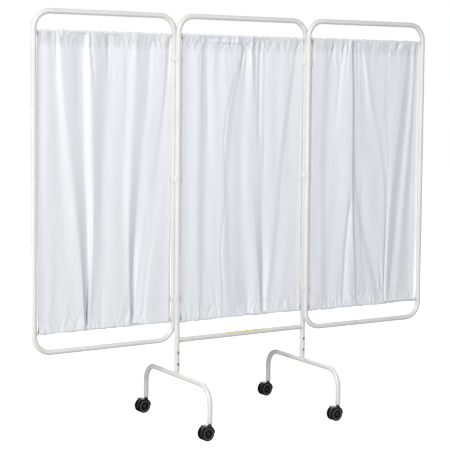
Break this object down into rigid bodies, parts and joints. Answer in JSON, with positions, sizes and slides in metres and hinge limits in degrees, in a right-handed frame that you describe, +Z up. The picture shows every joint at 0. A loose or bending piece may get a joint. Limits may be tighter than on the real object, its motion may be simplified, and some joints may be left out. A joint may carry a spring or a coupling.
{
  "type": "privacy screen",
  "caption": "Folding ward privacy screen on wheels: white tube frames with gathered pale cloth curtains, hinged side wings and arched feet on swivel castors.",
  "frame": {"origin": "middle of the whole screen's outline on the floor, with the wings as pictured", "axes": "+Z up, +X along the screen from the left wing to the right wing, -Y towards the front"},
  "size_m": [1.9166, 0.5774, 1.7136],
  "materials": {
    "paint": "satin",
    "steel": "zinc plated",
    "dark_steel": "blackened steel",
    "nylon": "moulded",
    "tread": "smooth",
    "clip": "moulded",
    "cloth": "plain weave"
  },
  "bodies": {
    "root": {"centre_frame": "paint", "centre_cross_bar": "paint", "centre_top_rod": "steel", "centre_bottom_rod": "steel", "centre_curtain": "cloth", "left_foot_arch": "paint", "left_foot_spigot": "steel", "left_upper_foot_bolt": "dark_steel", "left_upper_foot_nut": "dark_steel", "left_lower_foot_bolt": "dark_steel", "left_lower_foot_nut": "dark_steel", "left_front_castor_socket": "clip", "left_front_castor_stem": "steel", "left_rear_castor_socket": "clip", "left_rear_castor_stem": "steel", "left_top_hinge_clip": "clip", "left_middle_hinge_clip": "clip", "left_bottom_hinge_clip": "clip", "right_foot_arch": "paint", "right_foot_spigot": "steel", "right_upper_foot_bolt": "dark_steel", "right_upper_foot_nut": "dark_steel", "right_lower_foot_bolt": "dark_steel", "right_lower_foot_nut": "dark_steel", "right_front_castor_socket": "clip", "right_front_castor_stem": "steel", "right_rear_castor_socket": "clip", "right_rear_castor_stem": "steel", "right_top_hinge_clip": "clip", "right_middle_hinge_clip": "clip", "right_bottom_hinge_clip": "clip"},
    "left_wing": {"left_wing_frame": "paint", "left_wing_joiner": "steel", "left_wing_top_rod": "steel", "left_wing_bottom_rod": "steel", "left_wing_curtain": "cloth"},
    "left_front_castor": {"left_front_castor_hood": "nylon", "left_front_castor_axle": "steel"},
    "left_front_castor_wheel_a": {"left_front_castor_wheel_a": "tread"},
    "left_front_castor_wheel_b": {"left_front_castor_wheel_b": "tread"},
    "left_rear_castor": {"left_rear_castor_hood": "nylon", "left_rear_castor_axle": "steel"},
    "left_rear_castor_wheel_a": {"left_rear_castor_wheel_a": "tread"},
    "left_rear_castor_wheel_b": {"left_rear_castor_wheel_b": "tread"},
    "right_wing": {"right_wing_frame": "paint", "right_wing_joiner": "steel", "right_wing_top_rod": "steel", "right_wing_bottom_rod": "steel", "right_wing_curtain": "cloth"},
    "right_front_castor": {"right_front_castor_hood": "nylon", "right_front_castor_axle": "steel"},
    "right_front_castor_wheel_a": {"right_front_castor_wheel_a": "tread"},
    "right_front_castor_wheel_b": {"right_front_castor_wheel_b": "tread"},
    "right_rear_castor": {"right_rear_castor_hood": "nylon", "right_rear_castor_axle": "steel"},
    "right_rear_castor_wheel_a": {"right_rear_castor_wheel_a": "tread"},
    "right_rear_castor_wheel_b": {"right_rear_castor_wheel_b": "tread"}
  },
  "joints": [
    {"name": "left_wing_swing", "type": "hinge", "parent": "root", "child": "left_wing", "pos_m": [-0.32016, 0.02792, 1.029], "axis": [0, 0, 1], "range_deg": [-170, 40]},
    {"name": "right_wing_swing", "type": "hinge", "parent": "root", "child": "right_wing", "pos_m": [0.32031, -0.02581, 1.029], "axis": [0, 0, 1], "range_deg": [-178.5, 26]},
    {"name": "left_front_castor_swivel", "type": "hinge", "parent": "root", "child": "left_front_castor", "pos_m": [-0.31639, -0.26592, 0.063], "axis": [0, 0, 1], "continuous": true},
    {"name": "left_front_castor_wheel_a_spin", "type": "hinge", "parent": "left_front_castor", "child": "left_front_castor_wheel_a", "pos_m": [-0.3358, -0.25364, 0.02942], "axis": [0.0698, -0.9976, 0], "continuous": true},
    {"name": "left_front_castor_wheel_b_spin", "type": "hinge", "parent": "left_front_castor", "child": "left_front_castor_wheel_b", "pos_m": [-0.3339, -0.28077, 0.02942], "axis": [0.0698, -0.9976, 0], "continuous": true},
    {"name": "left_rear_castor_swivel", "type": "hinge", "parent": "root", "child": "left_rear_castor", "pos_m": [-0.31639, 0.26808, 0.063], "axis": [0, 0, 1], "continuous": true},
    {"name": "left_rear_castor_wheel_a_spin", "type": "hinge", "parent": "left_rear_castor", "child": "left_rear_castor_wheel_a", "pos_m": [-0.3358, 0.28036, 0.02942], "axis": [0.0698, -0.9976, 0], "continuous": true},
    {"name": "left_rear_castor_wheel_b_spin", "type": "hinge", "parent": "left_rear_castor", "child": "left_rear_castor_wheel_b", "pos_m": [-0.3339, 0.25323, 0.02942], "axis": [0.0698, -0.9976, 0], "continuous": true},
    {"name": "right_front_castor_swivel", "type": "hinge", "parent": "root", "child": "right_front_castor", "pos_m": [0.32361, -0.26592, 0.063], "axis": [0, 0, 1], "continuous": true},
    {"name": "right_front_castor_wheel_a_spin", "type": "hinge", "parent": "right_front_castor", "child": "right_front_castor_wheel_a", "pos_m": [0.30421, -0.25364, 0.02942], "axis": [0.0698, -0.9976, 0], "continuous": true},
    {"name": "right_front_castor_wheel_b_spin", "type": "hinge", "parent": "right_front_castor", "child": "right_front_castor_wheel_b", "pos_m": [0.3061, -0.28077, 0.02942], "axis": [0.0698, -0.9976, 0], "continuous": true},
    {"name": "right_rear_castor_swivel", "type": "hinge", "parent": "root", "child": "right_rear_castor", "pos_m": [0.32361, 0.26808, 0.063], "axis": [0, 0, 1], "continuous": true},
    {"name": "right_rear_castor_wheel_a_spin", "type": "hinge", "parent": "right_rear_castor", "child": "right_rear_castor_wheel_a", "pos_m": [0.30421, 0.28036, 0.02942], "axis": [0.0698, -0.9976, 0], "continuous": true},
    {"name": "right_rear_castor_wheel_b_spin", "type": "hinge", "parent": "right_rear_castor", "child": "right_rear_castor_wheel_b", "pos_m": [0.3061, 0.25323, 0.02942], "axis": [0.0698, -0.9976, 0], "continuous": true}
  ]
}
